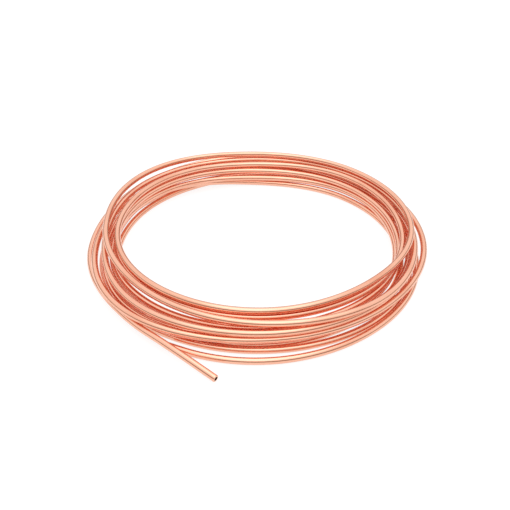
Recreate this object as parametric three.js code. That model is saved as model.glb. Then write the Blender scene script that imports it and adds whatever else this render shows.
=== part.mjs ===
// A loose hand coil of soft copper tube, lying flat.
//
// It is one continuous length of thin round tube. The first turn lies on the floor, the next ones climb
// over it, and the last turn springs open into a nearly straight free end. Each turn wanders in and out
// and up and down as it goes round, because nothing ties the turns together, and they rest on one another.
// Both ends are cut square and the bore is open from end to end.
//
// Units are millimetres and +Z is up. The origin is on the floor, in the middle of the coil's footprint.
// +X is to the right and +Y to the back of someone who faces the free end.

import * as THREE from 'three';

// ---- Driving dimensions ---------------------------------------------------------------------------

const TUBE_DIAMETER = 6; // outside diameter of the tube
const WALL_THICKNESS = 1;
const COIL_RADIUS = 146; // from the middle of the coil to the middle of the tube, on an average turn
const TURN_CLEARANCE = 0.35; // air between two turns that lie on one another

const START_AZIMUTH = 242.5; // degrees round the coil, from +X towards +Y, where the lowest turn begins
const TAIL_AZIMUTH = 227; // degrees round the coil where the free end leaves the last turn
const TAIL_LENGTH = 89; // free end, from where it leaves to the cut
const TAIL_BEND_RADIUS = 1000; // the free end still has a little of the coil's bend
const TAIL_DROOP = 2; // power of the way along the free end by which it comes down to the floor

const STATIONS_PER_TURN = 32; // straight stretches in each turn
const SECTION_SIDES = 8; // sides of the tube's outline and of its bore

// How the tube lies, every eighth of a turn. The columns begin at the front and go round by the right.
// The offset is how far a turn is outside the coil's radius and the layer is how far it is over the
// floor, both counted in turns that lie against one another. The tube runs smoothly from one to the next.
const FRONT_AZIMUTH = 270; // degrees round the coil where each row begins
//  front  .     right  .     back   .     left   .
const TURN_OFFSETS = [
  [2.35, 1.5, 1.05, 2, 1.25, 0.65, 0.35, 0.4],
  [0.4, 0.95, 0.6, 0.95, 0.25, -0.85, -1.8, -0.95],
  [-0.65, -1, -1, -1.2, -1.85, -0.65, -1.2, -1.45],
  [-1.85, -1.75, -1.75, -0.65, -2, -1.5, -1.4, -1.4],
  [-1.35, -1.55, -1.4, -0.65, -1.15, -1.4, -1.95, -2.5],
  [-2.4, -1.95, -0.8, 0.15, -0.45, -1.1, -2.15, -2.6],
  [-2.45, -1.95, 0.4, 1.15, 1.1, 2.2, -0.3, -1.65],
  [-0.7, 0.95, 0.65, 1.35, 0.95, 1.6, -0.3, 0.4],
  [0.25, 0.5, 0.6, 0.95, 1.2, 0.8, -0.25, 0.45],
  [-0.85, -0.4, 0.2, 0.85, 1.6, 1.8, 1.15, 1.85],
  [0.3, 0.8, 2.55, 3.5, 3.5, 2.95, 2.25, 1.75],
];
const TURN_LAYERS = [
  [0, 0, 0, 0, 0, 0, 0, 0],
  [0, 0, 0, 0, 0, 0, 0, 0],
  [0, 0, 0, 0, 0.05, 1.1, 0.9, 0.9],
  [1, 1.05, 1.05, 1, 1, 1.7, 1.85, 1.8],
  [2.2, 2.1, 1.95, 1.95, 1.95, 2.65, 2.8, 3.05],
  [3.15, 3.1, 3.05, 3.25, 2.95, 3.75, 4, 4.15],
  [4.1, 4.15, 4.25, 4.25, 4.15, 4.25, 4.05, 3.55],
  [3.55, 3.5, 3.3, 3.25, 3.2, 2.9, 2.9, 2.5],
  [2.5, 2.5, 2.3, 2.2, 2.2, 1.9, 1.3, 1],
  [1.3, 1.65, 1.3, 1.2, 1.2, 1, 1.4, 1.45],
  [1.5, 1.45, 1.6, 1.9, 2.6, 2.1, 0.9, 1.25],
];
const LEAD_IN = new THREE.Vector2(2, 0); // offset and layer an eighth of a turn before the first row
const LEAD_OUT = new THREE.Vector2(4.8, 0.7); // and an eighth of a turn after the last row

// ---- Derived dimensions ---------------------------------------------------------------------------

const TUBE_RADIUS = TUBE_DIAMETER / 2;
const BORE_RADIUS = TUBE_RADIUS - WALL_THICKNESS;
const TURN_PITCH = TUBE_DIAMETER + TURN_CLEARANCE;
const STEP_ANGLE = (2 * Math.PI) / STATIONS_PER_TURN;
const STRETCH = COIL_RADIUS * STEP_ANGLE; // length of one straight stretch
const FLOOR_LEVEL = TUBE_RADIUS * Math.cos(Math.PI / SECTION_SIDES); // a flat side lies on the floor

const ROW_STEP = 360 / TURN_OFFSETS[0].length; // degrees between two columns

const SETTLING_PASSES = 400; // turns are eased apart this many times
const EASING = 0.25; // share of a kink that one pass takes out
const REACH = 0.6 * STRETCH; // how far along the tube a station feels the turn beside it

// ---- Lay of the turns -----------------------------------------------------------------------------

// Offset and layer of the tube all the way along, as a smooth curve.
function layCurve() {
  const places = TURN_OFFSETS.map((row, turn) => {
    return row.map((offset, column) => new THREE.Vector2(offset, TURN_LAYERS[turn][column]));
  });
  return new THREE.SplineCurve([LEAD_IN, ...places.flat(), LEAD_OUT]);
}

// Point of the wound part at an azimuth in degrees, which goes on past 360 from turn to turn.
function woundPoint(lay, azimuth) {
  const place = (azimuth - FRONT_AZIMUTH) / ROW_STEP + 1;
  const lie = lay.getPoint(place / (lay.points.length - 1));
  const radius = COIL_RADIUS + lie.x * TURN_PITCH;
  const height = FLOOR_LEVEL + lie.y * TURN_PITCH;
  const angle = THREE.MathUtils.degToRad(azimuth);
  return new THREE.Vector3(radius * Math.cos(angle), radius * Math.sin(angle), height);
}

// Stations of the free end: a gentle bend that comes down to the floor.
function tailStations(last, beforeLast) {
  const count = Math.round(TAIL_LENGTH / STRETCH);
  const step = TAIL_LENGTH / count;
  const rise = last.z - FLOOR_LEVEL;
  let heading = Math.atan2(last.y - beforeLast.y, last.x - beforeLast.x) + STEP_ANGLE / 2;
  let place = last;
  const stations = [];
  for (let i = 1; i <= count; i += 1) {
    heading += step / TAIL_BEND_RADIUS;
    const height = FLOOR_LEVEL + rise * (1 - (i / count) ** TAIL_DROOP);
    place = new THREE.Vector3(place.x + step * Math.cos(heading), place.y + step * Math.sin(heading), height);
    stations.push(place);
  }
  return stations;
}

function plannedStations() {
  const lay = layCurve();
  const wound = TAIL_AZIMUTH + 360 * TURN_OFFSETS.length - START_AZIMUTH; // degrees
  const count = Math.round((wound / 360) * STATIONS_PER_TURN);
  const stations = [];
  for (let i = 0; i <= count; i += 1) {
    stations.push(woundPoint(lay, START_AZIMUTH + (360 * i) / STATIONS_PER_TURN));
  }
  return stations.concat(tailStations(stations[count], stations[count - 1]));
}

// Unit direction of the tube at each station.
function directions(stations) {
  return stations.map((station, i) => {
    const next = stations[Math.min(i + 1, stations.length - 1)];
    const previous = stations[Math.max(i - 1, 0)];
    return next.clone().sub(previous).normalize();
  });
}

// One pass of settling: how far each station is pushed by the turns that lie too near it.
function pushesApart(stations) {
  const along = directions(stations);
  const pushes = stations.map(() => new THREE.Vector3());
  const touches = new Array(stations.length).fill(0);
  const offset = new THREE.Vector3();
  for (let i = 0; i < stations.length; i += 1) {
    for (let j = i + STATIONS_PER_TURN / 2; j < stations.length; j += 1) {
      offset.copy(stations[i]).sub(stations[j]);
      const ahead = offset.dot(along[i]);
      if (Math.abs(ahead) > REACH) continue;
      offset.addScaledVector(along[i], -ahead);
      const distance = offset.length();
      if (distance >= TURN_PITCH) continue;
      offset.multiplyScalar((TURN_PITCH - distance) / (2 * distance));
      pushes[i].add(offset);
      pushes[j].sub(offset);
      touches[i] += 1;
      touches[j] += 1;
    }
  }
  return pushes.map((push, i) => push.divideScalar(Math.max(touches[i], 1)));
}

// Eases the planned turns apart until they lie on one another, keeping each one a smooth bend.
function settledStations(planned) {
  let stations = planned.map((station) => station.clone());
  for (let pass = 0; pass < SETTLING_PASSES; pass += 1) {
    const pushes = pushesApart(stations);
    const moved = stations.map((station, i) => station.clone().add(pushes[i]).sub(planned[i]));
    stations = moved.map((move, i) => {
      const eased = move.clone();
      if (i > 0 && i < moved.length - 1) {
        const middle = moved[i - 1].clone().add(moved[i + 1]).multiplyScalar(0.5);
        eased.lerp(middle, EASING);
      }
      const station = eased.add(planned[i]);
      station.z = Math.max(station.z, FLOOR_LEVEL);
      return station;
    });
  }
  return stations;
}

// Moves the stations so that the origin is in the middle of the footprint.
function centredStations(stations) {
  const middle = new THREE.Box3().setFromPoints(stations).getCenter(new THREE.Vector3());
  return stations.map((station) => new THREE.Vector3(station.x - middle.x, station.y - middle.y, station.z));
}

// ---- The tube -------------------------------------------------------------------------------------

// A path of straight stretches between stations, whose section stays upright all the way.
class WoundPath extends THREE.Curve {
  constructor(stations) {
    super();
    this.stations = stations;
  }

  getPoint(t) {
    const place = t * (this.stations.length - 1);
    const index = Math.min(Math.floor(place), this.stations.length - 2);
    return this.stations[index].clone().lerp(this.stations[index + 1], place - index);
  }

  // The corners of the mesh fall on the stations, which are at equal angles and not at equal lengths.
  getPointAt(u) {
    return this.getPoint(u);
  }

  computeFrenetFrames() {
    const up = new THREE.Vector3(0, 0, 1);
    const tangents = directions(this.stations);
    const normals = tangents.map((tangent) => up.clone().cross(tangent).normalize());
    const binormals = tangents.map((tangent, i) => tangent.clone().cross(normals[i]));
    return { tangents, normals, binormals };
  }
}

// Corners of a ring that has a flat side underneath.
function ring(radius) {
  const corners = [];
  for (let side = 0; side < SECTION_SIDES; side += 1) {
    const angle = ((side + 0.5) * 2 * Math.PI) / SECTION_SIDES;
    corners.push(new THREE.Vector2(radius * Math.cos(angle), radius * Math.sin(angle)));
  }
  return corners;
}

function copperTube() {
  const stations = centredStations(settledStations(plannedStations()));
  const section = new THREE.Shape(ring(TUBE_RADIUS));
  section.holes.push(new THREE.Path(ring(BORE_RADIUS)));
  const geometry = new THREE.ExtrudeGeometry(section, {
    steps: stations.length - 1,
    extrudePath: new WoundPath(stations),
    bevelEnabled: false,
  });
  const copper = new THREE.MeshStandardMaterial({
    name: 'bright_copper',
    color: 0xf2b49a,
    metalness: 1,
    roughness: 0.2,
  });
  const mesh = new THREE.Mesh(geometry, copper);
  mesh.name = 'copper_tube';
  return mesh;
}

const coil = new THREE.Group();
coil.name = 'copper_tube_coil';
coil.add(copperTube());

export default coil;
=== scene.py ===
"""A hand-laid coil of bright copper tube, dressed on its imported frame."""
import logging
import math
from dataclasses import dataclass
from enum import Enum

import bmesh
import bpy
import numpy as np
from mathutils import Matrix, Vector


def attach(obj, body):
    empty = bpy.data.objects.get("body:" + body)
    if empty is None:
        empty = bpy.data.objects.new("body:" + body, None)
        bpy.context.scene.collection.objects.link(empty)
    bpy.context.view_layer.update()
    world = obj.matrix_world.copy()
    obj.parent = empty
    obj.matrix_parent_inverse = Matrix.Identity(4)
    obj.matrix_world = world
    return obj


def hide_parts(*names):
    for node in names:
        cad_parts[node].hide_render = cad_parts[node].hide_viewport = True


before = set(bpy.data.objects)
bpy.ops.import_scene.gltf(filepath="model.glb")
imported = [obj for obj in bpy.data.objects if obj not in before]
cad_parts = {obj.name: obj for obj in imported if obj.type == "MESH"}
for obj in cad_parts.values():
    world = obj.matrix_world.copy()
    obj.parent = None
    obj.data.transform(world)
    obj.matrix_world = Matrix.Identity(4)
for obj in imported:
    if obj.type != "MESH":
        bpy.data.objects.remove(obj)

MILLIMETRE = 0.001
FULL_TURN = 2.0 * math.pi
GRAIN = "tube_grain"  # the place in the section, and the distance from the first cut
REFLECTIONS = 12
CORNER_LIMIT = 1_000_000  # more corners than any mesh here has
WHITE = "#FFFFFF"

log = logging.getLogger("copper_coil")


class Side(Enum):
    """The surfaces of the tube, by the order of their materials."""

    OUTSIDE = 0
    BORE = 1
    CUT_FACE = 2


def linear_colour(hex_code: str) -> tuple[float, float, float, float]:
    """Turn an sRGB hex colour into the linear one that Blender's sockets take.

    Args:
        hex_code: The colour as "#RRGGBB".

    Returns:
        Linear red, green and blue, and an alpha of 1.
    """
    parts = [int(hex_code[at:at + 2], 16) / 255.0 for at in (1, 3, 5)]
    linear = [c / 12.92 if c <= 0.04045 else ((c + 0.055) / 1.055) ** 2.4 for c in parts]
    return (linear[0], linear[1], linear[2], 1.0)


def add_node(
    tree: bpy.types.NodeTree,
    kind: str,
    inputs: dict[str | int, object] | None = None,
    **settings: object,
) -> bpy.types.Node:
    """Add one node, with its settings, its values and its links.

    Args:
        tree: The node tree that the node joins.
        kind: Blender's name of the node's type.
        inputs: A value, or the socket to link from, for each named or numbered input.
        **settings: The node's own properties.

    Returns:
        The new node.
    """
    node = tree.nodes.new(kind)
    for name, setting in settings.items():
        setattr(node, name, setting)
    for key, value in (inputs or {}).items():
        if isinstance(value, bpy.types.NodeSocket):
            tree.links.new(value, node.inputs[key])
        else:
            node.inputs[key].default_value = value
    return node


def new_material(name: str) -> tuple[bpy.types.Material, bpy.types.NodeTree]:
    """Start a material with an empty node tree.

    Args:
        name: The material's name.

    Returns:
        The material and its node tree.
    """
    material = bpy.data.materials.new(name)
    material.use_nodes = True
    material.node_tree.nodes.clear()
    return material, material.node_tree


def blended(
    tree: bpy.types.NodeTree, share: bpy.types.NodeSocket, first: str, second: str
) -> bpy.types.NodeSocket:
    """Blend from one colour to another.

    Args:
        tree: The node tree that the blend joins.
        share: 0 for the first colour and 1 for the second.
        first: A colour as "#RRGGBB".
        second: The other colour as "#RRGGBB".

    Returns:
        The blended colour.
    """
    # A mix of colours takes its share at 0 and its colours at 6 and 7, and gives them at 2.
    mix = add_node(
        tree, "ShaderNodeMix",
        {0: share, 6: linear_colour(first), 7: linear_colour(second)},
        data_type="RGBA")
    return mix.outputs[2]


def finish_metal(
    tree: bpy.types.NodeTree,
    colour: bpy.types.NodeSocket,
    roughness: bpy.types.NodeSocket | float,
    relief: bpy.types.NodeSocket,
    strength: float,
    depth: float,
) -> None:
    """Close a metal's node tree with its relief, its shader and its output.

    Args:
        tree: The material's node tree.
        colour: The colour of the metal.
        roughness: Its roughness, plain or from a pattern.
        relief: The height of its surface, from 0 to 1.
        strength: How much of the relief the light shows.
        depth: How deep the relief is, in millimetres.
    """
    bump = add_node(
        tree, "ShaderNodeBump",
        {"Height": relief, "Strength": strength, "Distance": depth * MILLIMETRE})
    shader = add_node(
        tree, "ShaderNodeBsdfPrincipled",
        {"Base Color": colour, "Metallic": 1.0, "Roughness": roughness,
         "Normal": bump.outputs["Normal"]})
    add_node(tree, "ShaderNodeOutputMaterial", {"Surface": shader.outputs["BSDF"]})


def spline_through(places: np.ndarray, stops: np.ndarray) -> np.ndarray:
    """Read a uniform Catmull-Rom spline.

    Args:
        places: The points that the spline goes through, one a row.
        stops: Where to read it, counted in points from the first.

    Returns:
        One point of the spline for each stop.
    """
    last = len(places) - 1
    start = np.clip(np.floor(stops).astype(int), 0, last - 1)
    part = (stops - start)[:, None]
    before = places[np.maximum(start - 1, 0)]
    here = places[start]
    there = places[start + 1]
    after = places[np.minimum(start + 2, last)]
    leaving = (there - before) / 2.0
    arriving = (after - here) / 2.0
    cubic = 2.0 * here - 2.0 * there + leaving + arriving
    square = 3.0 * there - 3.0 * here - 2.0 * leaving - arriving
    return ((cubic * part + square) * part + leaving) * part + here


def unit_rows(rows: np.ndarray) -> np.ndarray:
    """Scale each row to a length of one."""
    return rows / np.linalg.norm(rows, axis=1, keepdims=True)


def directions_along(path: np.ndarray) -> np.ndarray:
    """Give the direction of a path at each of its points.

    Args:
        path: The points, one a row.

    Returns:
        A unit vector for each point, from its neighbour behind to the one ahead.
    """
    chords = np.empty_like(path)
    chords[1:-1] = path[2:] - path[:-2]
    chords[0] = path[1] - path[0]
    chords[-1] = path[-1] - path[-2]
    return unit_rows(chords)


def rows_at(stops: np.ndarray, distance: np.ndarray, rows: np.ndarray) -> np.ndarray:
    """Read rows that are known at some distances along a line.

    Args:
        stops: The distances to read them at.
        distance: The distances that the rows are known at.
        rows: The known rows.

    Returns:
        One row for each stop, straight between the known ones.
    """
    return np.column_stack([np.interp(stops, distance, column) for column in rows.T])


def corner_order(part: bmesh.types.BMEdge | bmesh.types.BMFace) -> int:
    """Number an edge or a face by its lowest corner, and then by its next one."""
    lowest, following = sorted(vertex.index for vertex in part.verts)[:2]
    return lowest * CORNER_LIMIT + following


# Where each turn lies as it passes the front and every eighth of the ring after
# it: how far outside the coil's plain radius, and how high above the floor, both
# in the distance between two touching turns.
TURN_OFFSETS = (
    (2.35, 1.5, 1.05, 2.0, 1.25, 0.65, 0.35, 0.4),
    (0.4, 0.95, 0.6, 0.95, 0.25, -0.85, -1.8, -0.95),
    (-0.65, -1.0, -1.0, -1.2, -1.85, -0.65, -1.2, -1.45),
    (-1.85, -1.75, -1.75, -0.65, -2.0, -1.5, -1.4, -1.4),
    (-1.35, -1.55, -1.4, -0.65, -1.15, -1.4, -1.95, -2.5),
    (-2.4, -1.95, -0.8, 0.15, -0.45, -1.1, -2.15, -2.6),
    (-2.45, -1.95, 0.4, 1.15, 1.1, 2.2, -0.3, -1.65),
    (-0.7, 0.95, 0.65, 1.35, 0.95, 1.6, -0.3, 0.4),
    (0.25, 0.5, 0.6, 0.95, 1.2, 0.8, -0.25, 0.45),
    (-0.85, -0.4, 0.2, 0.85, 1.6, 1.8, 1.15, 1.85),
    (0.3, 0.8, 2.55, 3.5, 3.5, 2.95, 2.25, 1.75),
)
TURN_LAYERS = (
    (0.0, 0.0, 0.0, 0.0, 0.0, 0.0, 0.0, 0.0),
    (0.0, 0.0, 0.0, 0.0, 0.0, 0.0, 0.0, 0.0),
    (0.0, 0.0, 0.0, 0.0, 0.05, 1.1, 0.9, 0.9),
    (1.0, 1.05, 1.05, 1.0, 1.0, 1.7, 1.85, 1.8),
    (2.2, 2.1, 1.95, 1.95, 1.95, 2.65, 2.8, 3.05),
    (3.15, 3.1, 3.05, 3.25, 2.95, 3.75, 4.0, 4.15),
    (4.1, 4.15, 4.25, 4.25, 4.15, 4.25, 4.05, 3.55),
    (3.55, 3.5, 3.3, 3.25, 3.2, 2.9, 2.9, 2.5),
    (2.5, 2.5, 2.3, 2.2, 2.2, 1.9, 1.3, 1.0),
    (1.3, 1.65, 1.3, 1.2, 1.2, 1.0, 1.4, 1.45),
    (1.5, 1.45, 1.6, 1.9, 2.6, 2.1, 0.9, 1.25),
)
# Where the tube would lie an eighth of a turn before the first of these places, and
# after the last.
LEAD_IN = (2.0, 0.0)
LEAD_OUT = (4.8, 0.7)


@dataclass(frozen=True)
class CoilLay:
    """How the length of tube is laid in turns by hand, in millimetres and degrees.

    The turns are planned from the tables, and then pushed apart, a little at a
    time, until none lies inside another. Azimuths go from +X towards +Y. The tail
    is the free end, and its droop is the power of the way along it by which it
    comes down to the floor. Easing is the share of a kink that each pass takes
    out, and reach is how far along the tube a station feels the turn beside it,
    in stretches between stations.
    """

    tube_diameter: float = 6.0
    turn_clearance: float = 0.35
    coil_radius: float = 146.0
    start_azimuth: float = 242.5
    tail_azimuth: float = 227.0
    tail_length: float = 89.0
    tail_bend_radius: float = 1000.0
    tail_droop: float = 2.0
    front_azimuth: float = 270.0
    stations_per_turn: int = 32
    plain_sides: int = 8
    settling_passes: int = 400
    easing: float = 0.25
    reach: float = 0.6

    @property
    def turn_pitch(self) -> float:
        """The distance between the centres of two touching turns."""
        return self.tube_diameter + self.turn_clearance

    @property
    def stretch(self) -> float:
        """The length of tube between two stations."""
        return self.coil_radius * FULL_TURN / self.stations_per_turn

    @property
    def plain_floor_level(self) -> float:
        """The height of the centre of the plain tube, which lies on a flat side."""
        return self.tube_diameter / 2.0 * math.cos(math.pi / self.plain_sides)

    def wound_stations(self) -> np.ndarray:
        """Plan the wound turns, from the start to where the free end leaves them.

        Returns:
            The stations, one a row.
        """
        rows = np.dstack([TURN_OFFSETS, TURN_LAYERS]).reshape(-1, 2)
        places = np.vstack([LEAD_IN, rows, LEAD_OUT])
        wound = self.tail_azimuth + 360.0 * len(TURN_OFFSETS) - self.start_azimuth
        count = round(wound / 360.0 * self.stations_per_turn)
        azimuth = self.start_azimuth + np.arange(count + 1) * 360.0 / self.stations_per_turn
        place_step = 360.0 / len(TURN_OFFSETS[0])
        lay = spline_through(places, (azimuth - self.front_azimuth) / place_step + 1.0)
        radius = self.coil_radius + lay[:, 0] * self.turn_pitch
        height = self.plain_floor_level + lay[:, 1] * self.turn_pitch
        angle = np.radians(azimuth)
        return np.column_stack([radius * np.cos(angle), radius * np.sin(angle), height])

    def tail_stations(self, wound: np.ndarray) -> np.ndarray:
        """Plan the free end, which runs out nearly straight and down to the floor.

        Args:
            wound: The stations of the wound turns.

        Returns:
            The stations of the free end, one a row.
        """
        point = wound[-1].copy()
        run = wound[-1] - wound[-2]
        heading = math.atan2(run[1], run[0]) + math.pi / self.stations_per_turn
        rise = point[2] - self.plain_floor_level
        count = round(self.tail_length / self.stretch)
        step = self.tail_length / count
        stations = []
        for number in range(1, count + 1):
            heading += step / self.tail_bend_radius
            point[0] += step * math.cos(heading)
            point[1] += step * math.sin(heading)
            droop = (number / count) ** self.tail_droop
            point[2] = self.plain_floor_level + rise * (1.0 - droop)
            stations.append(point.copy())
        return np.array(stations)

    def settled(self, planned: np.ndarray) -> np.ndarray:
        """Push the turns apart until they lie on and beside each other.

        Args:
            planned: The stations as planned.

        Returns:
            The stations at rest.
        """
        stations = planned.copy()
        first, second = np.triu_indices(len(planned), self.stations_per_turn // 2)
        reach = self.reach * self.stretch
        for _ in range(self.settling_passes):
            along = directions_along(stations)[first]
            offset = stations[first] - stations[second]
            ahead = np.einsum("ij,ij->i", offset, along)
            offset -= ahead[:, None] * along
            distance = np.linalg.norm(offset, axis=1)
            close = (np.abs(ahead) <= reach) & (distance < self.turn_pitch)
            overlap = (self.turn_pitch - distance[close]) / (2.0 * distance[close])
            push = offset[close] * overlap[:, None]
            moves = np.zeros_like(planned)
            touches = np.zeros(len(planned))
            np.add.at(moves, first[close], push)
            np.add.at(moves, second[close], -push)
            np.add.at(touches, first[close], 1.0)
            np.add.at(touches, second[close], 1.0)
            moved = stations + moves / np.maximum(touches, 1.0)[:, None] - planned
            eased = moved.copy()
            neighbours = (moved[:-2] + moved[2:]) / 2.0
            eased[1:-1] += (neighbours - moved[1:-1]) * self.easing
            stations = planned + eased
            stations[:, 2] = np.maximum(stations[:, 2], self.plain_floor_level)
        return stations

    def centreline(self, steps: int) -> np.ndarray:
        """Lay the whole tube and give the line through its middle.

        Args:
            steps: The steps from one station to the next.

        Returns:
            The points of the line in metres, one a row, in the frame of the part.
        """
        wound = self.wound_stations()
        planned = np.vstack([wound, self.tail_stations(wound)])
        stations = self.settled(planned)
        middle = (stations.min(axis=0) + stations.max(axis=0)) / 2.0
        stations[:, :2] -= middle[:2]
        # The round tube lies on its lowest line, a little further from its centre.
        stations[:, 2] += self.tube_diameter / 2.0 - self.plain_floor_level
        stops = np.arange((len(stations) - 1) * steps + 1) / steps
        return spline_through(stations, stops) * MILLIMETRE


@dataclass(frozen=True)
class DrawnCopper:
    """Copper tube, drawn bright through a die and annealed soft.

    The die leaves it as smooth as a mirror across and faintly lined along its
    length, so it takes sharp reflections that smear a little round the tube.
    Colours are those of clean copper and of copper that has been handled, which
    is duller in long patches. Widths, lengths and depths are in millimetres.
    """

    name: str = "bright_drawn_copper"
    clean: str = "#F5BBA1"
    handled: str = "#EDAC90"
    roughness: float = 0.13
    dull_roughness: float = 0.24
    line_width: float = 0.35
    line_length: float = 90.0
    line_detail: float = 3.0
    line_depth: float = 0.004
    line_strength: float = 0.25
    patch_width: float = 11.25
    patch_length: float = 45.0
    patch_detail: float = 4.0
    patch_edge: tuple[float, float] = (0.42, 0.75)

    def material(self) -> bpy.types.Material:
        """Build the material.

        Returns:
            The finished material.
        """
        material, tree = new_material(self.name)
        grain = add_node(tree, "ShaderNodeAttribute", attribute_name=GRAIN)
        # Die lines are some hundredths of a millimetre apart. They are drawn about
        # ten times coarser, so that they show.
        lines = self.streaks(
            tree, grain.outputs["Vector"], self.line_width, self.line_length, self.line_detail)
        patches = self.streaks(
            tree, grain.outputs["Vector"], self.patch_width, self.patch_length,
            self.patch_detail)
        clear, full = self.patch_edge
        worn = add_node(
            tree, "ShaderNodeMapRange",
            {"Value": patches, "From Min": clear, "From Max": full},
            interpolation_type="SMOOTHSTEP").outputs["Result"]
        colour = blended(tree, worn, self.clean, self.handled)
        gloss = add_node(
            tree, "ShaderNodeMapRange",
            {"Value": worn, "To Min": self.roughness, "To Max": self.dull_roughness})
        finish_metal(
            tree, colour, gloss.outputs["Result"], lines, self.line_strength, self.line_depth)
        return material

    def streaks(
        self,
        tree: bpy.types.NodeTree,
        grain: bpy.types.NodeSocket,
        width: float,
        length: float,
        detail: float,
    ) -> bpy.types.NodeSocket:
        """Draw a noise that is stretched along the tube.

        Args:
            tree: The material's node tree.
            grain: The place on the tube.
            width: The width of a streak, in millimetres.
            length: Its length, in millimetres.
            detail: How many finer layers it has.

        Returns:
            The noise, from 0 to 1.
        """
        across = 1.0 / (width * MILLIMETRE)
        along = 1.0 / (length * MILLIMETRE)
        place = add_node(
            tree, "ShaderNodeMapping", {"Vector": grain, "Scale": (across, across, along)})
        noise = add_node(
            tree, "ShaderNodeTexNoise",
            {"Vector": place.outputs["Vector"], "Scale": 1.0, "Detail": detail})
        return noise.outputs["Fac"]


@dataclass(frozen=True)
class BoreCopper:
    """The inside of the tube: copper dulled brown by the heat of annealing.

    It is rough, and most of its dark brown is painted shade, far darker than the
    annealing tint, so that the mouth of the tube reads as a deep hole. Lengths
    and depths are in millimetres.
    """

    name: str = "annealed_bore_copper_with_painted_shade"
    # Both colours are far darker than copper's own, as painted shade inside the bore.
    brown: str = "#4A2A1E"
    pink: str = "#7C4A36"
    roughness: float = 0.5
    patch_length: float = 6.0
    patch_detail: float = 5.0
    relief_depth: float = 0.03
    relief_strength: float = 0.3

    def material(self) -> bpy.types.Material:
        """Build the material.

        Returns:
            The finished material.
        """
        material, tree = new_material(self.name)
        grain = add_node(tree, "ShaderNodeAttribute", attribute_name=GRAIN)
        patches = add_node(
            tree, "ShaderNodeTexNoise",
            {"Vector": grain.outputs["Vector"], "Detail": self.patch_detail,
             "Scale": 1.0 / (self.patch_length * MILLIMETRE)}).outputs["Fac"]
        colour = blended(tree, patches, self.brown, self.pink)
        finish_metal(
            tree, colour, self.roughness, patches, self.relief_strength, self.relief_depth)
        return material


@dataclass(frozen=True)
class CutCopper:
    """The face that a tube cutter leaves: bright new copper with fine rings.

    It is paler than the drawn wall, so the cut stands out from the dark bore.
    Spacings and depths are in millimetres.
    """

    name: str = "fresh_cut_copper"
    bright: str = "#FFD3B9"
    ring: str = "#E09C7A"
    roughness: float = 0.28
    ring_spacing: float = 0.25
    ring_depth: float = 0.02
    ring_strength: float = 0.4

    def material(self) -> bpy.types.Material:
        """Build the material.

        Returns:
            The finished material.
        """
        material, tree = new_material(self.name)
        grain = add_node(tree, "ShaderNodeAttribute", attribute_name=GRAIN)
        flat = add_node(
            tree, "ShaderNodeVectorMath",
            {0: grain.outputs["Vector"], 1: (1.0, 1.0, 0.0)}, operation="MULTIPLY")
        radius = add_node(
            tree, "ShaderNodeVectorMath", {0: flat.outputs["Vector"]}, operation="LENGTH")
        # A cutter's rings are under a tenth of a millimetre apart, so these are coarser.
        phase = add_node(
            tree, "ShaderNodeMath",
            {0: radius.outputs["Value"],
             1: FULL_TURN / (self.ring_spacing * MILLIMETRE)},
            operation="MULTIPLY")
        wave = add_node(
            tree, "ShaderNodeMath", {0: phase.outputs["Value"]}, operation="SINE")
        rings = add_node(
            tree, "ShaderNodeMapRange",
            {"Value": wave.outputs["Value"], "From Min": -1.0}).outputs["Result"]
        colour = blended(tree, rings, self.bright, self.ring)
        finish_metal(
            tree, colour, self.roughness, rings, self.ring_strength, self.ring_depth)
        return material


@dataclass(frozen=True)
class Ring:
    """One ring of corners of the sweep, round the outside and round the bore.

    It has its place, its distance along the tube from the first cut, and the
    radii of the outside and of the bore, all in metres.
    """

    place: Matrix
    along: float
    radii: tuple[float, float]


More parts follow.
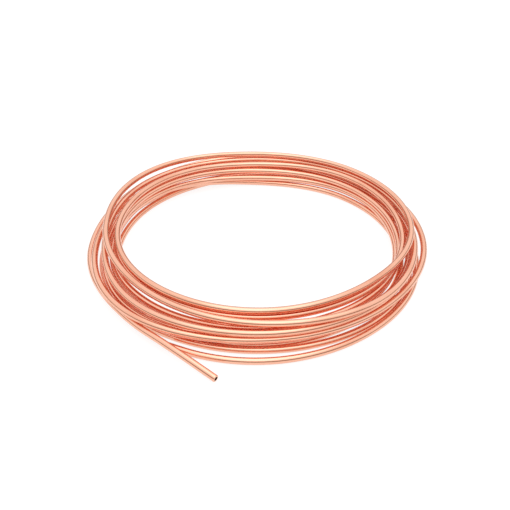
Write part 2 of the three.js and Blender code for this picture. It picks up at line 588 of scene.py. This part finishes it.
@dataclass(frozen=True)
class WoundTube:
    """The one length of tube, with its bore and its two cut ends, in millimetres.

    The sweep goes from one station of the lay to the next in some steps, and is
    made a batch of steps at a time, which is quicker than in one go.
    """

    name: str = "wound_copper_tube"
    outside_radius: float = 3.0
    bore_radius: float = 2.0
    sides: int = 20
    steps: int = 5
    batch: int = 24
    seam_gap: float = 0.002
    lay: CoilLay = CoilLay()

    # A tube cutter rolls the last of the wall inwards: how far from the cut, and
    # what it takes off the outside radius and off the bore there.
    cut_profile: tuple[tuple[float, float, float], ...] = (
        (0.0, 0.3, 0.22),
        (0.1, 0.16, 0.2),
        (0.3, 0.05, 0.12),
        (0.7, 0.0, 0.0),
    )

    def rings(self) -> list[Ring]:
        """Work out every ring of the sweep.

        Returns:
            The rings, from the first cut to the second.
        """
        line = self.lay.centreline(self.steps)
        runs = np.linalg.norm(np.diff(line, axis=0), axis=1)
        distance = np.concatenate([[0.0], np.cumsum(runs)])
        length = float(distance[-1])
        ends, off_outside, off_bore = np.array(self.cut_profile).T * MILLIMETRE
        inner = distance[(distance > ends[-1]) & (distance < length - ends[-1])]
        stops = np.concatenate([ends, inner, (length - ends)[::-1]])
        points = rows_at(stops, distance, line)
        headings = unit_rows(rows_at(stops, distance, directions_along(line)))
        rings = []
        for stop, point, heading in zip(stops, points, headings):
            from_cut = min(stop, length - stop)
            outside = self.outside_radius * MILLIMETRE
            outside -= float(np.interp(from_cut, ends, off_outside))
            bore = self.bore_radius * MILLIMETRE
            bore -= float(np.interp(from_cut, ends, off_bore))
            tangent = Vector(heading)
            right = tangent.cross(Vector((0.0, 0.0, 1.0))).normalized()
            up = right.cross(tangent)
            place = Matrix((right, up, tangent)).transposed().to_4x4()
            place.translation = Vector(point)
            rings.append(Ring(place, float(stop), (outside, bore)))
        return rings

    def mesh(self) -> bpy.types.Mesh:
        """Sweep the tube a batch of steps at a time, join the batches and close the cuts.

        Returns:
            The mesh, in metres and in the frame of the part.
        """
        rings = self.rings()
        shape = bmesh.new()
        for start in range(0, len(rings) - 1, self.batch):
            walls = self.walls(rings[start:start + self.batch + 1])
            shape.from_mesh(walls)
            bpy.data.meshes.remove(walls)
        bmesh.ops.remove_doubles(shape, verts=shape.verts, dist=self.seam_gap * MILLIMETRE)
        # The operators leave edges and faces in an order that changes from run to run.
        shape.verts.index_update()
        shape.edges.sort(key=corner_order)
        shape.faces.sort(key=corner_order)
        self.close_cuts(shape, rings[-1].along / 2.0)
        bmesh.ops.recalc_face_normals(shape, faces=shape.faces)
        mesh = bpy.data.meshes.new(self.name)
        shape.to_mesh(mesh)
        shape.free()
        return mesh

    def walls(self, rings: list[Ring]) -> bpy.types.Mesh:
        """Sweep the outside and the bore of a short stretch, open at its ends.

        Args:
            rings: The rings of the stretch.

        Returns:
            A mesh to be joined with the other stretches.
        """
        shape = bmesh.new()
        grain = shape.verts.layers.float_vector.new(GRAIN)
        first = rings[0]
        for side in (Side.OUTSIDE, Side.BORE):
            made = bmesh.ops.create_circle(
                shape, segments=self.sides, radius=first.radii[side.value])["verts"]
            for vertex in made:
                vertex[grain] = (vertex.co.x, vertex.co.y, first.along)
            bmesh.ops.transform(shape, matrix=first.place, verts=made)
            edges = [edge for edge in shape.edges if edge.is_wire]
            for before, ring in zip(rings, rings[1:]):
                grown = bmesh.ops.extrude_edge_only(shape, edges=edges)["geom"]
                loop = [part for part in grown if isinstance(part, bmesh.types.BMVert)]
                faces = [part for part in grown if isinstance(part, bmesh.types.BMFace)]
                edges = [
                    part for part in grown
                    if isinstance(part, bmesh.types.BMEdge) and part.is_boundary]
                scale = ring.radii[side.value] / before.radii[side.value]
                size = Matrix.Diagonal((scale, scale, 1.0, 1.0))
                step = ring.place @ size @ before.place.inverted()
                bmesh.ops.transform(shape, matrix=step, verts=loop)
                for vertex in loop:
                    vertex[grain].z = ring.along
                for face in faces:
                    face.smooth = True
                    face.material_index = side.value
        mesh = bpy.data.meshes.new("stretch_of_walls")
        shape.to_mesh(mesh)
        shape.free()
        return mesh

    def close_cuts(self, shape: bmesh.types.BMesh, halfway: float) -> None:
        """Close the wall at both cuts, from the rim of the outside to that of the bore.

        Args:
            shape: The swept walls, open at both cuts.
            halfway: Half the length of the tube in metres, which tells the cuts apart.
        """
        grain = shape.verts.layers.float_vector[GRAIN]
        facing: dict[tuple[bool, int], list[bmesh.types.BMEdge]] = {}
        for rim in [edge for edge in shape.edges if edge.is_boundary]:
            rim.smooth = False
            middle = (rim.verts[0][grain] + rim.verts[1][grain]) / 2.0
            part_turn = math.atan2(middle.y, middle.x) / FULL_TURN
            key = (middle.z > halfway, math.floor(part_turn * self.sides) % self.sides)
            facing.setdefault(key, []).append(rim)
        # Each edge of the outer rim closes with the edge of the bore that faces it.
        for pair in facing.values():
            for face in bmesh.ops.contextual_create(shape, geom=pair)["faces"]:
                face.material_index = Side.CUT_FACE.value

    def build(self) -> bpy.types.Object:
        """Build the tube, dress it and put it in the place of its plain solid.

        Returns:
            The finished piece.
        """
        tube = bpy.data.objects.new(self.name, self.mesh())
        bpy.context.scene.collection.objects.link(tube)
        for finish in (DrawnCopper(), BoreCopper(), CutCopper()):
            tube.data.materials.append(finish.material())
        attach(tube, "root")
        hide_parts("copper_tube")
        return tube


@dataclass(frozen=True)
class StudioFloor:
    """A wide sheet of white paper under the coil, with a radius in metres."""

    name: str = "studio_floor"
    radius: float = 4.0
    sides: int = 96
    paper: str = "#F7F7F6"
    glow: float = 0.86
    paper_share: float = 0.22

    def build(self) -> bpy.types.Object:
        """Build the floor.

        Returns:
            The floor.
        """
        shape = bmesh.new()
        bmesh.ops.create_circle(
            shape, cap_ends=True, segments=self.sides, radius=self.radius)
        mesh = bpy.data.meshes.new(self.name)
        shape.to_mesh(mesh)
        shape.free()
        floor = bpy.data.objects.new(self.name, mesh)
        bpy.context.scene.collection.objects.link(floor)
        mesh.materials.append(self.material())
        return floor

    def material(self) -> bpy.types.Material:
        """Build white paper that still takes the coil's shadow.

        Where it is seen, also in the copper, most of its white is its own and the
        rest is paper. Any other light meets it as plain paper.

        Returns:
            The finished material.
        """
        material, tree = new_material("white_studio_paper")
        white = linear_colour(self.paper)
        path = add_node(tree, "ShaderNodeLightPath")
        seen = add_node(
            tree, "ShaderNodeMath",
            {0: path.outputs["Is Camera Ray"], 1: path.outputs["Is Glossy Ray"]},
            operation="MAXIMUM")
        shown = add_node(
            tree, "ShaderNodeMath",
            {0: seen.outputs["Value"], 1: path.outputs["Is Transmission Ray"]},
            operation="MAXIMUM")
        paper = add_node(tree, "ShaderNodeBsdfDiffuse", {"Color": white})
        share = (*(part * self.paper_share for part in white[:3]), 1.0)
        dimmed = add_node(tree, "ShaderNodeBsdfDiffuse", {"Color": share})
        glow = add_node(tree, "ShaderNodeEmission", {"Strength": self.glow})
        lit = add_node(
            tree, "ShaderNodeAddShader",
            {0: dimmed.outputs["BSDF"], 1: glow.outputs["Emission"]})
        surface = add_node(
            tree, "ShaderNodeMixShader",
            {0: shown.outputs["Value"], 1: paper.outputs["BSDF"], 2: lit.outputs["Shader"]})
        add_node(tree, "ShaderNodeOutputMaterial", {"Surface": surface.outputs["Shader"]})
        return material


@dataclass(frozen=True)
class StudioLight:
    """Soft light from all round, with a bright soft box overhead and a dim horizon.

    The box makes the pale line on top of each turn, and the horizon the thin dark
    line below it. Directions are unit vectors, so heights and half sizes are sines
    of angles. The edge of the box runs from where its light ends to where it is
    full, in half sizes, and front_reach is how far to the front the horizon has
    risen in full.
    """

    room: float = 1.08
    horizon: str = "#A4968A"
    horizon_height: tuple[float, float] = (0.14, 0.42)
    front_rise: float = 0.25
    front_reach: float = 0.6
    soft_box: float = 0.9
    box_centre: tuple[float, float, float] = (0.0, -0.08, 0.0)
    box_half_size: tuple[float, float] = (0.42, 0.55)
    box_edge: tuple[float, float] = (1.5, 0.5)

    def build(self) -> bpy.types.World:
        """Build the world.

        Returns:
            The world, set as the scene's own.
        """
        world = bpy.data.worlds.new("soft_studio_light")
        world.use_nodes = True
        tree = world.node_tree
        tree.nodes.clear()
        place = add_node(tree, "ShaderNodeTexCoord")
        way = add_node(
            tree, "ShaderNodeVectorMath", {0: place.outputs["Generated"]},
            operation="NORMALIZE").outputs["Vector"]
        path = add_node(tree, "ShaderNodeLightPath")
        shown = add_node(
            tree, "ShaderNodeMath",
            {0: path.outputs["Is Camera Ray"], 1: path.outputs["Is Transmission Ray"]},
            operation="MAXIMUM")
        above = add_node(
            tree, "ShaderNodeMath",
            {0: self.above_horizon(tree, way), 1: shown.outputs["Value"]},
            operation="MAXIMUM")
        colour = blended(tree, above.outputs["Value"], self.horizon, WHITE)
        level = add_node(
            tree, "ShaderNodeMath", {0: self.soft_box_level(tree, way), 1: self.room},
            operation="ADD")
        # Looked at directly, the world is plain white. Box and horizon show in the copper.
        strength = add_node(
            tree, "ShaderNodeMix",
            {"Factor": shown.outputs["Value"], "A": level.outputs["Value"], "B": 1.0},
            data_type="FLOAT")
        background = add_node(
            tree, "ShaderNodeBackground",
            {"Color": colour, "Strength": strength.outputs["Result"]})
        add_node(tree, "ShaderNodeOutputWorld", {"Surface": background.outputs["Background"]})
        bpy.context.scene.world = world
        return world

    def soft_box_level(
        self, tree: bpy.types.NodeTree, way: bpy.types.NodeSocket
    ) -> bpy.types.NodeSocket:
        """Light one long soft box overhead, which reaches further to front and back.

        Args:
            tree: The world's node tree.
            way: The direction that is looked along.

        Returns:
            What the box adds to the room's light.
        """
        across, along = self.box_half_size
        aside = add_node(
            tree, "ShaderNodeVectorMath", {0: way, 1: self.box_centre}, operation="SUBTRACT")
        scaled = add_node(
            tree, "ShaderNodeVectorMath",
            {0: aside.outputs["Vector"], 1: (1.0 / across, 1.0 / along, 0.0)},
            operation="MULTIPLY")
        reach = add_node(
            tree, "ShaderNodeVectorMath", {0: scaled.outputs["Vector"]}, operation="LENGTH")
        outer, inner = self.box_edge
        box = add_node(
            tree, "ShaderNodeMapRange",
            {"Value": reach.outputs["Value"], "From Min": outer, "From Max": inner,
             "To Max": self.soft_box},
            interpolation_type="SMOOTHSTEP")
        return box.outputs["Result"]

    def above_horizon(
        self, tree: bpy.types.NodeTree, way: bpy.types.NodeSocket
    ) -> bpy.types.NodeSocket:
        """Tell the room's white from its dim horizon, which is higher at the front.

        Args:
            tree: The world's node tree.
            way: The direction that is looked along.

        Returns:
            0 at the horizon and 1 well above it.
        """
        parts = add_node(tree, "ShaderNodeSeparateXYZ", {0: way})
        front = add_node(
            tree, "ShaderNodeMapRange",
            {"Value": parts.outputs["Y"], "From Min": 0.0, "From Max": -self.front_reach},
            interpolation_type="SMOOTHSTEP")
        height = add_node(
            tree, "ShaderNodeMath",
            {0: front.outputs["Result"], 1: -self.front_rise, 2: parts.outputs["Z"]},
            operation="MULTIPLY_ADD")
        low, high = self.horizon_height
        above = add_node(
            tree, "ShaderNodeMapRange",
            {"Value": height.outputs["Value"], "From Min": low, "From Max": high},
            interpolation_type="SMOOTHSTEP")
        return above.outputs["Result"]


@dataclass(frozen=True)
class ViewingCamera:
    """The camera, in metres and degrees, looking down at the middle of the coil.

    Lens and sensor are in millimetres, and the shift is in pixels of the frame.
    """

    elevation: float = 34.0
    distance: float = 0.7
    aim: tuple[float, float, float] = (-0.001148, 0.00643, 0.0)
    lens: float = 50.25
    sensor: float = 36.0
    frame_pixels: float = 510.0
    shift_pixels: tuple[float, float] = (-1.0, -4.0)

    def build(self) -> bpy.types.Object:
        """Build the camera and look through it.

        Returns:
            The camera.
        """
        data = bpy.data.cameras.new("viewing_camera")
        data.lens = self.lens
        data.sensor_width = self.sensor
        data.sensor_fit = "HORIZONTAL"
        data.shift_x, data.shift_y = (
            shift / self.frame_pixels for shift in self.shift_pixels)
        camera = bpy.data.objects.new("viewing_camera", data)
        bpy.context.scene.collection.objects.link(camera)
        angle = math.radians(self.elevation)
        back = Vector((0.0, -math.cos(angle), math.sin(angle))) * self.distance
        camera.location = Vector(self.aim) + back
        camera.rotation_euler = (math.pi / 2.0 - angle, 0.0, 0.0)
        bpy.context.scene.camera = camera
        return camera


def main() -> None:
    """Build the camera, the light, the floor and the coil, in that order."""
    logging.basicConfig(level=logging.INFO, format="%(name)s: %(message)s")
    bpy.context.scene.view_settings.view_transform = "Standard"
    # Light that comes out from between the turns has gone from one to the next many times.
    bpy.context.scene.cycles.glossy_bounces = REFLECTIONS
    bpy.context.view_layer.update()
    for maker in (ViewingCamera(), StudioLight(), StudioFloor()):
        log.info("built %s", maker.build().name)
    tube = WoundTube().build()
    log.info("built %s with %d faces", tube.name, len(tube.data.polygons))


if __name__ == "__main__":
    main()
